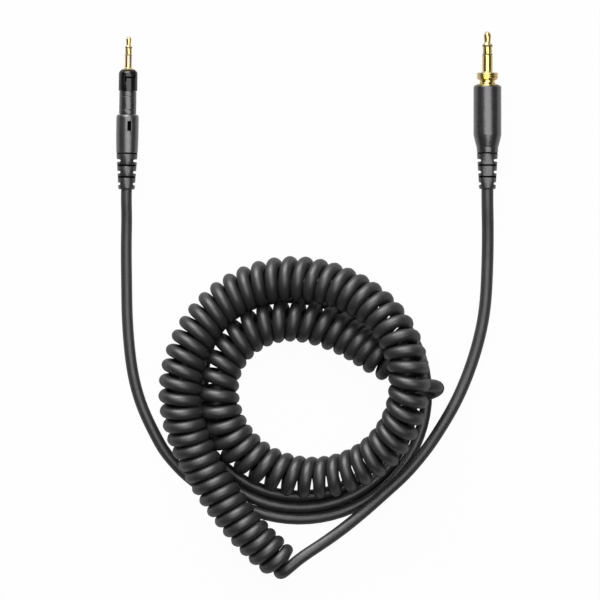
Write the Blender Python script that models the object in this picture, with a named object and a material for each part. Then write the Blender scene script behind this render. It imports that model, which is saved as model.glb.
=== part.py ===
"""Coiled stereo cable, lying flat as it is put away.

A curly cord wound in a double ring, with a straight stretch at each end.  One stretch ends in a
2.5 mm plug with a bayonet collar, the other in a 3.5 mm plug whose collar takes a screw-on adapter.

The cable lies on the plane z = 0.  Both plugs point along +Y.  The origin is below the middle of
the whole cable.  Sizes are written in millimetres and turned into metres where a mesh is made.
"""

import math

import bmesh
import bpy
import numpy
from mathutils import Matrix, Vector

MM = 0.001

# ---------------------------------------------------------------- driving sizes, in millimetres

CORD_DIAMETER = 3.6  # outer jacket
CURL_OUTER_DIAMETER = 13.5  # over the curls
CURL_SLIMMING = 0.3  # the real turns touch, so the curled jacket is drawn this much thinner
CORD_REST_HEIGHT = 1.85  # middle of a cord that lies on the table
NODE_GAP = 0.3  # air between two lengths of the same cord

POINTS_PER_CURL = 8
POINTS_PER_LOOP = 24
STRETCH_STEP = 8.5  # spacing of the points along a straight stretch
RISE_STEP = 6.0  # and where it climbs from the table to the curls

# The axis of the curly cord, from its free end at the bottom of the ring: x, y, height of the
# axis above the table, the curls wound so far, and how much wider than usual the curls are wound
# there.  A whole number of curls is a curl's lowest point.
CURLY_AXIS = [
    (-6.8, -89.4, 9.2, -1.5, -1.9),
    (-8.6, -88.1, 9.4, -1.05, -1.3),
    (-10.5, -86.8, 9.8, -0.6, -0.6),
    (-14.2, -83.9, 10.4, 0.45, -0.25),
    (-19.6, -78.6, 11.1, 2.3, -0.25),
    (-28.0, -68.1, 11.3, 5.55, 0.05),
    (-35.6, -56.4, 11.3, 8.7, 0.1),
    (-41.4, -44.1, 12.0, 11.77, 0.1),
    (-44.0, -30.8, 12.9, 14.78, 0.15),
    (-41.8, -17.3, 13.4, 17.7, 0.15),
    (-35.5, -5.4, 12.6, 20.6, 0.1),
    (-25.2, 3.6, 11.6, 23.6, 0.2),
    (-12.3, 8.3, 12.4, 26.5, 0.5),
    (1.4, 8.3, 14.6, 29.4, 0.55),
    (14.4, 4.2, 17.9, 32.45, 0.2),
    (25.1, -4.1, 21.8, 35.45, 0.0),
    (32.1, -15.9, 25.3, 38.4, -0.1),
    (34.0, -29.3, 24.6, 41.15, -0.1),
    (30.2, -42.3, 19.8, 43.9, -0.1),
    (21.5, -52.4, 15.0, 46.7, -0.05),
    (9.3, -58.1, 11.2, 49.5, 0.0),
    (-4.1, -58.6, 8.6, 52.3, 0.0),
    (-16.8, -53.9, 7.5, 54.95, 0.0),
    (-26.3, -44.7, 7.2, 57.6, 0.0),
    (-30.9, -32.2, 7.1, 60.3, 0.0),
    (-28.9, -19.2, 7.1, 62.8, 0.0),
    (-20.0, -9.4, 7.1, 65.4, 0.0),
    (-7.2, -5.5, 7.1, 68.1, -0.1),
    (6.1, -7.8, 7.4, 70.8, 0.0),
    (16.9, -12.7, 8.9, 73.35, 0.0),
    (25.6, -18.2, 10.6, 75.6, 0.0),
    (32.7, -21.8, 11.1, 77.05, -0.1),
    (36.2, -24.3, 11.2, 77.7, -0.1),
    (38.6, -27.4, 11.3, 78.35, -0.1),
    (39.4, -31.0, 11.3, 79.0, -0.2),
]

# The straight cord's flat loops under the ring: angle about the ring's middle in degrees,
# anticlockwise from +X, and radius.  The first is the outermost, where the cord comes in.
RING_MIDDLE = (-3.6, -30.0)
FLAT_LOOPS = [
    (-105, 43.3), (-90, 43.3), (-60, 43.8), (-30, 44.0), (0, 43.9), (30, 43.1),
    (60, 42.4), (90, 42.0), (120, 42.3), (150, 42.8), (180, 42.8), (210, 41.6),
    (240, 39.6), (270, 39.22), (300, 39.5), (330, 38.7), (360, 38.2), (390, 38.3),
    (420, 38.0), (450, 37.7), (480, 37.9), (510, 38.3), (540, 38.1), (570, 36.3),
    (600, 35.15), (630, 35.15), (660, 35.2), (675, 35.1),
]

# From the last flat loop up to the curly cord's end: x, y, height.
LOOPS_TO_CURLS = [
    (25.6, -48.4, 2.6),
    (27.7, -45.1, 4.1),
    (30.0, -41.5, 5.7),
    (32.2, -37.9, 6.3),
]

# The visible stretch from the locking plug down to the ring: x, y, height.
LOCK_STRETCH = [
    (-62.3, 31.5, 3.15),
    (-62.4, 22.0, 2.2),
    (-62.3, 6.6, 1.85),
    (-62.1, -3.7, 1.85),
    (-61.4, -14.0, 1.85),
    (-60.0, -24.2, 1.85),
    (-57.1, -34.5, 1.85),
    (-52.4, -44.7, 1.85),
    (-49.4, -49.9, 1.85),
    (-46.0, -54.1, 1.85),
    (-42.3, -57.9, 1.85),
    (-38.3, -61.1, 1.85),
    (-33.3, -64.4, 1.85),
    (-27.2, -67.8, 1.85),
    (-20.6, -70.7, 1.85),
]

# The visible stretch from the curly cord's free end up to the main plug: x, y, height.
MAIN_STRETCH = [
    (3.6, -82.1, 11.4),
    (10.5, -77.3, 8.9),
    (16.0, -73.0, 7.2),
    (21.3, -68.5, 6.2),
    (27.1, -63.3, 6.0),
    (32.4, -58.4, 6.0),
    (37.0, -53.3, 5.9),
    (41.0, -48.2, 5.3),
    (44.5, -43.0, 4.2),
    (50.4, -32.8, 2.6),
    (54.8, -22.5, 1.95),
    (58.0, -12.2, 1.85),
    (60.0, -2.0, 1.85),
    (60.8, 8.3, 1.9),
    (61.1, 18.5, 2.3),
    (61.1, 28.8, 3.5),
]

# ---------------------------------------------------------------- plugs, in millimetres
# Stations run back from the tip of the plug.

MAIN = dict(
    name="main_plug",
    tip_at=(61.1, 93.3),
    lean=0.0,
    length=53.8,
    sides=24,
    # the pin
    pin_diameter=3.5,
    ring_diameter=3.1,
    tip_profile=((0.0, 0.5), (0.35, 1.0), (1.0, 1.36), (1.6, 1.37), (3.4, 1.18), (4.1, 1.3)),
    tip_length=4.1,
    tip_insulator_length=0.9,
    ring_length=2.2,
    ring_insulator_length=0.5,
    pin_length=14.0,
    rod_radius=0.45,
    layer_wall=0.18,
    layer_gap=0.1,
    band_gap=0.1,
    # behind the shell's front
    stem_radius=3.3,
    stem_end=22.0,
    terminal_step=0.7,
    lug_radius=0.9,
    lug_length=1.6,
    flange_radii=(1.1, 1.85, 2.1),
    # the shell and the strain relief
    shell_start=18.9,
    shell_end=41.3,
    shell_wall=1.05,
    relief_radii=(3.45, 2.7),
    wire_diameter=0.7,
)

LOCK = dict(
    name="lock_plug",
    tip_at=(-61.55, 91.6),
    lean=-0.85,
    length=52.2,
    sides=24,
    pin_diameter=2.5,
    ring_diameter=2.2,
    tip_profile=((0.0, 0.35), (0.3, 0.72), (0.8, 0.97), (1.3, 1.0), (2.7, 0.82), (3.4, 0.92)),
    tip_length=3.4,
    tip_insulator_length=0.6,
    ring_length=2.0,
    ring_insulator_length=0.45,
    pin_length=11.1,
    rod_radius=0.28,
    layer_wall=0.13,
    layer_gap=0.08,
    band_gap=0.08,
    stem_radius=2.1,
    stem_end=28.4,
    terminal_step=0.6,
    lug_radius=0.6,
    lug_length=1.2,
    flange_radii=(0.8, 1.3, 1.5),
    shell_start=26.7,
    shell_end=39.7,
    shell_wall=1.0,
    relief_radii=(3.5, 2.7),
    wire_diameter=0.5,
)

FIT_GAP = 0.25  # air between two pieces that fit in each other

# Main plug: the threaded collar for the adapter, and the barrel-shaped shell
THREAD_DIAMETER = 7.2
THREAD_LENGTH = 2.3
THREAD_GROOVES = 3
THREAD_DEPTH = 0.3
COLLAR_NECK_DIAMETER = 5.4
COLLAR_NECK_LENGTH = 1.6
COLLAR_FLARE_DIAMETER = 7.9
MAIN_SHELL_DIAMETER = 9.3
MAIN_SHELL_TAPER_START = 34.7
MAIN_SHELL_REAR_DIAMETER = 7.0

# Locking plug: the glossy collar with its two bayonet tracks, the neck and the shell
COLLAR_DIAMETER = 6.3
COLLAR_START = 11.2
COLLAR_LENGTH = 7.2
COLLAR_DOME_LENGTH = 1.4
COLLAR_LIP_LENGTH = 1.4  # the narrow front of its bore, which keeps it on the stem
STEM_NOSE_RADIUS = 1.6  # the gold cone that shows in front of the collar
TRACK_DEPTH = 0.45
TRACK_WIDTH = 0.75
TRACK_RUN_AT = 2.9  # behind the collar's front
TRACK_ANGLES = (48.0, 108.0)
NECK_DIAMETER = 5.8
NECK_START = 18.7
NECK_LENGTH = 7.7
NECK_GROOVE_AT = 1.8  # behind the neck's front
LOCK_SHELL_DIAMETER = 7.6
LOCK_SHELL_REAR_DIAMETER = 7.2
LOCK_SHELL_SHOULDER_LENGTH = 1.3
WINDOW_SIZE = (1.1, 3.1)
WINDOW_DEPTH = 0.45
WINDOW_AT = (0.8, 30.65)  # sideways from the axis, and back from the tip

# Strain relief of both plugs
RELIEF_SLOT_PITCH = 4.0
RELIEF_SLOTS = 3
RELIEF_NOTCH_WIDTH = 1.25
RELIEF_NOTCH_START = 2.75  # middle of the first side notch, behind the shell's end
RELIEF_CUT_WIDTH = 0.5
RELIEF_WALL = 0.35  # left between a notch and the bore
RELIEF_NOSE_LENGTH = 3.4
JACKET_GAP = 0.12  # air between the jacket and the relief moulded on it
JACKET_END_INSIDE = 5.6  # how far the jacket runs on inside the shell
WIRE_SPREAD = 1.15  # sideways place of the outer wires at the jacket's end


# ---------------------------------------------------------------- scene and materials


def clear_scene():
    for obj in list(bpy.data.objects):
        bpy.data.objects.remove(obj, do_unlink=True)


def principled(name, color, roughness, metallic=0.0):
    material = bpy.data.materials.new(name)
    material.use_nodes = True
    shader = material.node_tree.nodes["Principled BSDF"]
    shader.inputs["Base Color"].default_value = (*color, 1.0)
    shader.inputs["Roughness"].default_value = roughness
    shader.inputs["Metallic"].default_value = metallic
    material.diffuse_color = (*color, 1.0)
    return material


def make_materials():
    return {
        "gold": principled("gold_plating", (0.83, 0.60, 0.24), 0.22, 1.0),
        "insulator": principled("insulator", (0.62, 0.60, 0.55), 0.5),
        "gloss": principled("gloss_black", (0.02, 0.022, 0.02), 0.12),
        "shell": principled("shell_black", (0.045, 0.045, 0.048), 0.42),
        "relief": principled("relief_rubber", (0.04, 0.04, 0.042), 0.55),
        "jacket": principled("cord_jacket", (0.035, 0.035, 0.037), 0.4),
        "wire_red": principled("wire_red", (0.5, 0.03, 0.02), 0.45),
        "wire_white": principled("wire_white", (0.7, 0.68, 0.63), 0.45),
        "wire_copper": principled("wire_copper", (0.72, 0.35, 0.18), 0.35, 1.0),
    }


def add_object(name, data, parent=None):
    obj = bpy.data.objects.new(name, data)
    bpy.context.scene.collection.objects.link(obj)
    obj.parent = parent
    return obj


def mesh_object(name, bm, material, parent=None):
    bmesh.ops.recalc_face_normals(bm, faces=bm.faces)
    mesh = bpy.data.meshes.new(name)
    bm.to_mesh(mesh)
    bm.free()
    mesh.shade_smooth()
    mesh.set_sharp_from_angle(angle=math.radians(35))
    mesh.materials.append(material)
    return add_object(name, mesh, parent)


# ---------------------------------------------------------------- smooth curves and tubes


def natural_cubic(stations, values):
    """A function that reads the natural cubic spline through values at the given stations."""
    x = numpy.asarray(stations, float)
    y = numpy.asarray(values, float)
    step = numpy.diff(x)
    count = len(x)
    matrix = numpy.eye(count)
    right = numpy.zeros_like(y)
    for i in range(1, count - 1):
        matrix[i, i - 1 : i + 2] = step[i - 1], 2 * (step[i - 1] + step[i]), step[i]
        right[i] = 6 * ((y[i + 1] - y[i]) / step[i] - (y[i] - y[i - 1]) / step[i - 1])
    bend = numpy.linalg.solve(matrix, right)

    def read(at):
        at = numpy.asarray(at, float)
        i = numpy.clip(numpy.searchsorted(x, at) - 1, 0, count - 2)
        h = step[i][:, None]
        a = ((x[i + 1] - at) / step[i])[:, None]
        b = 1 - a
        curved = ((a**3 - a) * bend[i] + (b**3 - b) * bend[i + 1]) * h**2 / 6
        return a * y[i] + b * y[i + 1] + curved

    return read


def along(points):
    """Distance along a line of points, from 0 at the first."""
    steps = numpy.linalg.norm(numpy.diff(points[:, :3], axis=0), axis=1)
    return numpy.concatenate([[0.0], numpy.cumsum(steps)])


def smooth_route(route, step, first=0, last=-1):
    """Points about a step apart on the smooth curve through a route, from one of its points on."""
    route = numpy.asarray(route, float)
    stations = along(route)
    count = max(2, round((stations[last] - stations[first]) / step) + 1)
    return natural_cubic(stations, route)(numpy.linspace(stations[first], stations[last], count))


def straight_ended(route, step):
    """A smooth route whose first and last lengths run straight, as where a cord leaves a plug."""
    return numpy.vstack([route[0], smooth_route(route, step, 1, -2), route[-1]])


def tube(name, points, diameter, bevel_resolution, material):
    """A round tube along a line of points in millimetres, closed at both ends."""
    curve = bpy.data.curves.new(name, "CURVE")
    curve.dimensions = "3D"
    curve.bevel_depth = diameter / 2 * MM
    curve.bevel_resolution = bevel_resolution
    curve.use_fill_caps = True
    spline = curve.splines.new("POLY")
    spline.points.add(len(points) - 1)
    for target, point in zip(spline.points, points):
        target.co = (*(numpy.asarray(point) * MM), 1.0)
    curve.materials.append(material)
    return add_object(name, curve)


def least_gap(name, points, diameter, apart):
    """Prints the least air between stretches of a tube that are more than apart along it."""
    fine = []
    for first, second in zip(points[:-1], points[1:]):
        for part in (0.0, 0.25, 0.5, 0.75):
            fine.append(first + (second - first) * part)
    fine = numpy.array(fine)
    stations = along(fine)
    least = math.inf
    for i, point in enumerate(fine):
        far = stations > stations[i] + apart
        if far.any():
            least = min(least, numpy.linalg.norm(fine[far] - point, axis=1).min())
    print(f"{name}: least gap to itself {least - diameter:.2f} mm")


# ---------------------------------------------------------------- the cord


def curl_points():
    """The middle line of the curls, wound left-handed round the curly axis, with straight ends."""
    axis = numpy.array(CURLY_AXIS)
    read = natural_cubic(along(axis), axis)
    fine_at = numpy.linspace(0, along(axis)[-1], 8000)
    turns = read(fine_at)[:, 3]
    steps = round((turns[-1] - turns[0]) * POINTS_PER_CURL)
    wound = numpy.linspace(turns[0], turns[-1], steps + 1)
    cord = CORD_DIAMETER - CURL_SLIMMING
    helix_radius = (CURL_OUTER_DIAMETER - cord) / 2

    def helix(turn):
        at = numpy.interp(turn, turns, fine_at)
        half_step = 0.05
        ahead = read(numpy.minimum(at + half_step, fine_at[-1]))[:, :3]
        behind = read(numpy.maximum(at - half_step, 0))[:, :3]
        forward = (ahead - behind) / numpy.linalg.norm(ahead - behind, axis=1)[:, None]
        outward = numpy.cross([0, 0, 1], forward)
        outward /= numpy.linalg.norm(outward, axis=1)[:, None]
        up = numpy.cross(forward, outward)
        angle = (2 * math.pi * turn)[:, None]
        radius = helix_radius + read(at)[:, 4:5]
        around = -numpy.cos(angle) * up - numpy.sin(angle) * outward
        return read(at)[:, :3] + radius * around

    points = helix(wound)
    nudge = 0.01
    ends = helix(numpy.array([turns[0], turns[0] + nudge, turns[-1] - nudge, turns[-1]]))
    lead_in = ends[0] - ends[1]
    lead_out = ends[3] - ends[2]
    first = points[0] + lead_in / numpy.linalg.norm(lead_in) * CORD_DIAMETER
    last = points[-1] + lead_out / numpy.linalg.norm(lead_out) * CORD_DIAMETER
    return numpy.vstack([first, points, last])


def past_end(end, before, distance):
    """The point this far beyond the end of a tube, straight on."""
    return end + (end - before) / numpy.linalg.norm(end - before) * distance


def loop_points(curls):
    """The flat loops, from their outer end to the curly cord's last curl."""
    table = numpy.array(FLAT_LOOPS, float)
    read = natural_cubic(table[:, 0], table[:, 1:])
    step = 360 / POINTS_PER_LOOP
    angles = numpy.arange(table[0, 0], table[-1, 0] + step / 2, step)
    radii = read(angles)[:, 0]
    turned = numpy.radians(angles)
    flat = numpy.column_stack(
        [
            RING_MIDDLE[0] + radii * numpy.cos(turned),
            RING_MIDDLE[1] + radii * numpy.sin(turned),
            numpy.full(len(angles), CORD_REST_HEIGHT),
        ]
    )
    start = past_end(curls[-1], curls[-2], NODE_GAP)
    lead = past_end(curls[-1], curls[-2], NODE_GAP + CORD_DIAMETER)
    rise = smooth_route([*flat[-3:], *LOOPS_TO_CURLS, lead, start], RISE_STEP, 2, -2)
    return numpy.vstack([flat[:-1], rise, start])


def make_cord(materials, lock, main):
    jacket = materials["jacket"]
    curls = curl_points()
    curl_cord = CORD_DIAMETER - CURL_SLIMMING
    tube("curls", curls, curl_cord, 1, jacket)
    turn_length = math.pi * (CURL_OUTER_DIAMETER - curl_cord)
    least_gap("curls", curls, curl_cord, turn_length * 0.4)

    loops = loop_points(curls)
    tube("flat_loops", loops, CORD_DIAMETER, 1, jacket)
    least_gap("flat_loops", loops, CORD_DIAMETER, 4 * CORD_DIAMETER)

    into_loops = past_end(loops[0], loops[1], NODE_GAP)
    before_loops = past_end(loops[0], loops[1], NODE_GAP + CORD_DIAMETER)
    lock_exit, lock_lead = cord_exit(lock)
    route = [lock_exit, lock_lead, *LOCK_STRETCH, before_loops, into_loops]
    tube("lock_cord", straight_ended(route, STRETCH_STEP), CORD_DIAMETER, 2, jacket)

    off_curls = past_end(curls[0], curls[1], NODE_GAP)
    after_curls = past_end(curls[0], curls[1], NODE_GAP + CORD_DIAMETER)
    main_exit, main_lead = cord_exit(main)
    route = [off_curls, after_curls, *MAIN_STRETCH, main_lead, main_exit]
    tube("main_cord", straight_ended(route, STRETCH_STEP), CORD_DIAMETER, 2, jacket)


# ---------------------------------------------------------------- plugs


def plug_frame(plug):
    """An empty at the plug's tip.  The plug lies on the flat under its widest part."""
    frame = add_object(plug["name"] + "_frame", None)
    frame.location = Vector((*plug["tip_at"], plug["axis_height"])) * MM
    frame.rotation_euler = (0, 0, math.radians(plug["lean"]))
    plug["frame"] = frame
    return frame


def on_plug(plug, sideways, station, height=0.0):
    """World place, in millimetres, of a point given in the plug's own stations."""
    lean = math.radians(plug["lean"])
    x = plug["tip_at"][0] + sideways * math.cos(lean) + station * math.sin(lean)
    y = plug["tip_at"][1] + sideways * math.sin(lean) - station * math.cos(lean)
    return numpy.array([x, y, plug["axis_height"] + height])


def cord_exit(plug):
    """Where the cord leaves the strain relief, and a point one diameter further on."""
    start = on_plug(plug, 0, plug["length"] + NODE_GAP)
    return start, on_plug(plug, 0, plug["length"] + NODE_GAP + CORD_DIAMETER)


def turned(plug, piece, outline, material, sides=None, hole=True):
    """A turned piece: outline lists (station, radius), closed on itself or, solid, on the axis."""
    sides = sides or plug["sides"]
    bm = bmesh.new()
    half_side = Matrix.Rotation(math.pi / sides, 3, "Y")
    verts = [
        bm.verts.new(half_side @ Vector((radius * MM, -station * MM, 0)))
        for station, radius in outline
    ]
    edges = [bm.edges.new(pair) for pair in zip(verts[:-1], verts[1:])]
    if hole:
        edges.append(bm.edges.new((verts[-1], verts[0])))
    bmesh.ops.spin(
        bm,
        geom=verts + edges,
        axis=(0, 1, 0),
        cent=(0, 0, 0),
        angle=2 * math.pi,
        steps=sides,
        use_merge=True,
    )
    bmesh.ops.remove_doubles(bm, verts=bm.verts, dist=1e-7)
    name = f"{plug['name']}_{piece}"
    return mesh_object(name, bm, material, plug["frame"])


def cut(obj, cutter):
    modifier = obj.modifiers.new(cutter.name, "BOOLEAN")
    modifier.operation = "DIFFERENCE"
    modifier.object = cutter
    cutter.hide_render = True
    cutter.display_type = "WIRE"


def prism_cutter(plug, piece, outline, low, high, material):
    """A prism: outline lists (sideways, station), and it runs from low to high."""
    bm = bmesh.new()
    floor = bm.faces.new(
        [bm.verts.new((x * MM, -station * MM, low * MM)) for x, station in outline]
    )
    raised = bmesh.ops.extrude_face_region(bm, geom=[floor])
    lifted = [item for item in raised["geom"] if isinstance(item, bmesh.types.BMVert)]
    bmesh.ops.translate(bm, verts=lifted, vec=(0, 0, (high - low) * MM))
    return mesh_object(f"{plug['name']}_{piece}_cutter", bm, material, plug["frame"])


def sector_cutter(plug, piece, stations, radii, angles, material, steps=6):
    """Part of a turned ring between two angles, measured from +X towards the top."""
    bm = bmesh.new()
    start = Matrix.Rotation(-math.radians(angles[0]), 3, "Y")
    corners = [
        (stations[0], radii[0]),
        (stations[1], radii[0]),
        (stations[1], radii[1]),
        (stations[0], radii[1]),
    ]
    face = bm.faces.new(
        [bm.verts.new(start @ Vector((r * MM, -s * MM, 0))) for s, r in corners]
    )
    bmesh.ops.spin(
        bm,
        geom=[face],
        axis=(0, 1, 0),
        cent=(0, 0, 0),
        angle=-math.radians(angles[1] - angles[0]),
        steps=steps,
    )
    bmesh.ops.remove_doubles(bm, verts=bm.verts, dist=1e-7)
    return mesh_object(f"{plug['name']}_{piece}_cutter", bm, material, plug["frame"])


def layer_radii(plug):
    """Outer radius of the rod and of each tube round it, with the air between them."""
    rod = plug["rod_radius"]
    radii = [rod]
    for _ in range(3):
        radii.append(radii[-1] + plug["layer_gap"] + plug["layer_wall"])
    return radii


def make_pin(plug, materials):
    """The pin: a rod with the tip, then insulator, ring, insulator and sleeve, one in another."""
    gold = materials["gold"]
    white = materials["insulator"]
    gap = plug["layer_gap"]
    rod, first, ring, second = layer_radii(plug)
    outside = plug["pin_diameter"] / 2
    step = plug["terminal_step"]
    band = plug["band_gap"]
    sides = 16

    second_end = plug["stem_end"] + step
    ring_end = second_end + step
    first_end = ring_end + step
    lug_start = first_end + band
    lug_end = lug_start + plug["lug_length"]
    tip = [(0.0, 0.0), *plug["tip_profile"], (plug["tip_length"], rod)]
    tip += [(lug_start, rod), (lug_start, plug["lug_radius"])]
    tip += [(lug_end, plug["lug_radius"]), (lug_end, 0.0)]
    turned(plug, "tip_contact", tip, gold, sides, hole=False)

    def band_and_tube(piece, start, length, band_radius, inner, outer, tail, flange, material):
        """A band on the pin, and behind it a tube that ends in a flange inside the shell."""
        chamfer = 0.08
        end = start + length
        flange_start = tail - step + band
        outline = [
            (start, inner),
            (start, band_radius - chamfer),
            (start + chamfer, band_radius),
            (end - chamfer, band_radius),
            (end, band_radius - chamfer),
            (end, outer),
            (flange_start, outer),
            (flange_start, flange),
            (tail, flange),
            (tail, inner),
        ]
        turned(plug, piece, outline, material, sides)
        return end + band

    at = plug["tip_length"] + band
    flanges = plug["flange_radii"]
    at = band_and_tube("tip_insulator", at, plug["tip_insulator_length"], outside - 0.02,
                       rod + gap, first, first_end, flanges[0], white)
    at = band_and_tube("ring_contact", at, plug["ring_length"], plug["ring_diameter"] / 2,
                       first + gap, ring, ring_end, flanges[1], gold)
    at = band_and_tube("ring_insulator", at, plug["ring_insulator_length"], outside,
                       ring + gap, second, second_end, flanges[2], white)
    plug["sleeve_start"] = at
    plug["sleeve_bore"] = second + gap
    plug["ring_end"] = ring_end
    plug["lug_end"] = lug_end


def thread_outline(start):
    """Rounded crests and grooves of the main plug's threaded collar."""
    crest = THREAD_DIAMETER / 2
    root = crest - THREAD_DEPTH
    pitch = THREAD_LENGTH / (THREAD_GROOVES + 0.5)
    outline = [(start, crest - 0.25), (start + 0.15, crest)]
    for groove in range(THREAD_GROOVES):
        middle = start + pitch * (groove + 0.75)
        outline += [(middle - pitch * 0.3, crest), (middle, root), (middle + pitch * 0.3, crest)]
    return outline + [(start + THREAD_LENGTH, crest)]


def make_main_sleeve(plug, materials):
    """The sleeve of the main plug, turned in one piece with its threaded collar and stem."""
    outside = plug["pin_diameter"] / 2
    collar_end = plug["pin_length"] + THREAD_LENGTH
    neck_end = collar_end + COLLAR_NECK_LENGTH
    flare_end = plug["shell_start"] - FIT_GAP
    outline = [
        (plug["sleeve_start"], plug["sleeve_bore"]),
        (plug["sleeve_start"], outside - 0.1),
        (plug["sleeve_start"] + 0.1, outside),
        (plug["pin_length"], outside),
        *thread_outline(plug["pin_length"]),
        (collar_end + 0.1, COLLAR_NECK_DIAMETER / 2),
        (neck_end, COLLAR_NECK_DIAMETER / 2),
        (flare_end - 0.25, COLLAR_FLARE_DIAMETER / 2),
        (flare_end, COLLAR_FLARE_DIAMETER / 2),
        (flare_end, plug["stem_radius"]),
        (plug["stem_end"], plug["stem_radius"]),
        (plug["stem_end"], plug["sleeve_bore"]),
    ]
    turned(plug, "sleeve_contact", outline, materials["gold"], 20)


def make_lock_sleeve(plug, materials):
    """The sleeve of the locking plug, and the stem that carries its collar, neck and shell."""
    outside = plug["pin_diameter"] / 2
    shoulder = COLLAR_START + COLLAR_LIP_LENGTH + FIT_GAP
    outline = [
        (plug["sleeve_start"], plug["sleeve_bore"]),
        (plug["sleeve_start"], outside - 0.08),
        (plug["sleeve_start"] + 0.08, outside),
        (plug["pin_length"] - 0.35, outside),
        (plug["pin_length"] + 0.1, STEM_NOSE_RADIUS),
        (shoulder, STEM_NOSE_RADIUS),
        (shoulder, plug["stem_radius"]),
        (plug["stem_end"], plug["stem_radius"]),
        (plug["stem_end"], plug["sleeve_bore"]),
    ]
    turned(plug, "sleeve_contact", outline, materials["gold"], 16)


def make_locking_collar(plug, materials):
    """The glossy collar, with a bayonet track on each side: in from the front, round, and back."""
    gloss = materials["gloss"]
    outer = COLLAR_DIAMETER / 2
    bore = plug["stem_radius"] + FIT_GAP
    lip = STEM_NOSE_RADIUS + FIT_GAP
    start = COLLAR_START
    end = start + COLLAR_LENGTH
    dome = COLLAR_DOME_LENGTH
    outline = [
        (start + COLLAR_LIP_LENGTH, bore),
        (start + COLLAR_LIP_LENGTH, lip),
        (start, lip),
        (start, lip + 0.3),
        (start + dome * 0.15, outer - 0.65),
        (start + dome * 0.5, outer - 0.25),
        (start + dome, outer),
        (end - 0.15, outer),
        (end, outer - 0.15),
        (end, bore),
    ]
    collar = turned(plug, "locking_collar", outline, gloss)
    low, high = TRACK_ANGLES
    entry = math.degrees(TRACK_WIDTH / outer)
    run = start + TRACK_RUN_AT
    depth = (outer - TRACK_DEPTH, outer + 0.5)
    for side in (0, 180):
        cuts = {
            "entry": ((start - 0.5, run + TRACK_WIDTH / 2), (low, low + entry), 2),
            "run": ((run - TRACK_WIDTH / 2, run + TRACK_WIDTH / 2), (low, high), 6),
            "seat": ((run, run + TRACK_WIDTH * 1.7), (high - entry, high), 2),
        }
        for piece, (stations, angles, steps) in cuts.items():
            turned_angles = (angles[0] + side, angles[1] + side)
            name = f"track_{piece}_{side}"
            cut(collar, sector_cutter(plug, name, stations, depth, turned_angles, gloss, steps))


def make_neck(plug, materials):
    """The plain barrel between the collar and the shell, with one fine groove."""
    outer = NECK_DIAMETER / 2
    bore = plug["stem_radius"] + FIT_GAP
    end = NECK_START + NECK_LENGTH
    groove = NECK_START + NECK_GROOVE_AT
    outline = [
        (NECK_START, bore),
        (NECK_START, outer - 0.12),
        (NECK_START + 0.12, outer),
        (groove - 0.15, outer),
        (groove, outer - 0.12),
        (groove + 0.15, outer),
        (end, outer),
        (end, bore),
    ]
    turned(plug, "neck_barrel", outline, materials["gloss"])


def shell_inside(plug, cavity, front_bore, cavity_start, rear_bore, cavity_end):
    """The inside of a shell, from its rear opening forward."""
    return [
        (plug["shell_end"], rear_bore),
        (cavity_end + (cavity - rear_bore), rear_bore),
        (cavity_end, cavity),
        (cavity_start, cavity),
        (cavity_start, front_bore),
        (plug["shell_start"], front_bore),
    ]


def relief_bore(plug):
    return CORD_DIAMETER / 2 + JACKET_GAP


def relief_nose(plug):
    """Radius of the strain relief's nose, which sits in the shell's rear opening."""
    return relief_bore(plug) + 0.5


def make_main_shell(plug, materials):
    outer = MAIN_SHELL_DIAMETER / 2
    rear = MAIN_SHELL_REAR_DIAMETER / 2
    start = plug["shell_start"]
    end = plug["shell_end"]
    taper = MAIN_SHELL_TAPER_START
    length = end - taper
    outline = [
        (start, outer - 0.15),
        (start + 0.15, outer),
        (taper, outer),
        (taper + length * 0.25, outer - (outer - rear) * 0.14),
        (taper + length * 0.7, rear + (outer - rear) * 0.16),
        (taper + length * 0.9, rear),
        (end - 0.1, rear),
        (end, rear - 0.1),
    ]
    cavity = outer - plug["shell_wall"]
    bore = plug["stem_radius"] + FIT_GAP
    outline += shell_inside(
        plug, cavity, bore, plug["stem_end"], relief_nose(plug) + FIT_GAP, taper + 0.4
    )
    turned(plug, "shell", outline, materials["shell"])


def make_lock_shell(plug, materials):
    outer = LOCK_SHELL_DIAMETER / 2
    rear = LOCK_SHELL_REAR_DIAMETER / 2
    start = plug["shell_start"]
    end = plug["shell_end"]
    shoulder = LOCK_SHELL_SHOULDER_LENGTH
    outline = [
        (start, outer - 0.6),
        (start + shoulder * 0.25, outer - 0.25),
        (start + shoulder * 0.6, outer - 0.08),
        (start + shoulder, outer),
        (end - 0.1, rear),
        (end, rear - 0.1),
    ]
    cavity = outer - plug["shell_wall"]
    bore = plug["stem_radius"] + FIT_GAP
    outline += shell_inside(
        plug, cavity, bore, plug["stem_end"] - 0.3, relief_nose(plug) + FIT_GAP, end - 2.4
    )
    shell = turned(plug, "shell", outline, materials["shell"])
    width, length = WINDOW_SIZE
    sideways, station = WINDOW_AT
    window = [
        (sideways - width / 2, station - length / 2),
        (sideways + width / 2, station - length / 2),
        (sideways + width / 2, station + length / 2),
        (sideways - width / 2, station + length / 2),
    ]
    floor = outer * math.cos(math.pi / plug["sides"]) - WINDOW_DEPTH
    cut(shell, prism_cutter(plug, "window", window, floor, outer + 1, materials["gloss"]))


def notch_outline(side, inner, outer, station, width):
    """A slot with a round inner end, seen from above."""
    radius = width / 2
    outline = []
    for step in range(5):
        turn = math.pi / 2 + math.pi * step / 4
        x = inner + radius + radius * math.cos(turn)
        outline.append((side * x, station + radius * math.sin(turn)))
    return outline + [(side * outer, station - radius), (side * outer, station + radius)]


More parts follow.
